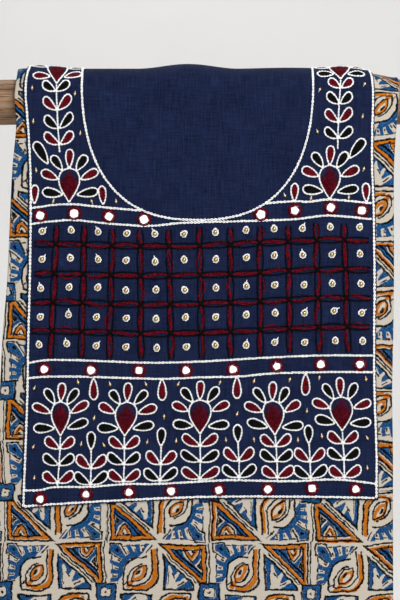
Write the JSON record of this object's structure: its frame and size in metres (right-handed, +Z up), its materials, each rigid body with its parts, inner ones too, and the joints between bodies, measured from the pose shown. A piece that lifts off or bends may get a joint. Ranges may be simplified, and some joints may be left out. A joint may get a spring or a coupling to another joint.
{
  "type": "embroidered kalamkari fabric over a wooden bar",
  "caption": "Printed kalamkari cotton folded in layers over a round wooden bar, with a navy yoke panel embroidered in chain stitch, leaf motifs, small mirrors and beads.",
  "frame": {"origin": "centre of the bar's left end face, which is the mount bar_end_left", "axes": "+X along the bar to its right end, +Y from the front of the hanging cloth to its back, +Z up"},
  "size_m": [0.6, 0.0677, 0.5882],
  "materials": {
    "weathered_wood": "weathered, matt",
    "kalamkari_cotton": "plain-weave cotton, hand-block print on an unbleached ground",
    "navy_cotton": "slubby plain-weave cotton",
    "mirror_glass": "silvered glass"
  },
  "bodies": {
    "root": {"bar": "weathered_wood", "kalamkari_cloth": "kalamkari_cotton", "yoke_panel": "navy_cotton", "mirror_upper_1": "mirror_glass", "mirror_upper_2": "mirror_glass", "mirror_upper_3": "mirror_glass", "mirror_upper_4": "mirror_glass", "mirror_upper_5": "mirror_glass", "mirror_upper_6": "mirror_glass", "mirror_upper_7": "mirror_glass", "mirror_upper_8": "mirror_glass", "mirror_middle_1": "mirror_glass", "mirror_middle_2": "mirror_glass", "mirror_middle_3": "mirror_glass", "mirror_middle_4": "mirror_glass", "mirror_middle_5": "mirror_glass", "mirror_middle_6": "mirror_glass", "mirror_middle_7": "mirror_glass", "mirror_middle_8": "mirror_glass", "mirror_lower_1": "mirror_glass", "mirror_lower_2": "mirror_glass", "mirror_lower_3": "mirror_glass", "mirror_lower_4": "mirror_glass", "mirror_lower_5": "mirror_glass", "mirror_lower_6": "mirror_glass", "mirror_lower_7": "mirror_glass", "mirror_lower_8": "mirror_glass"}
  },
  "joints": []
}
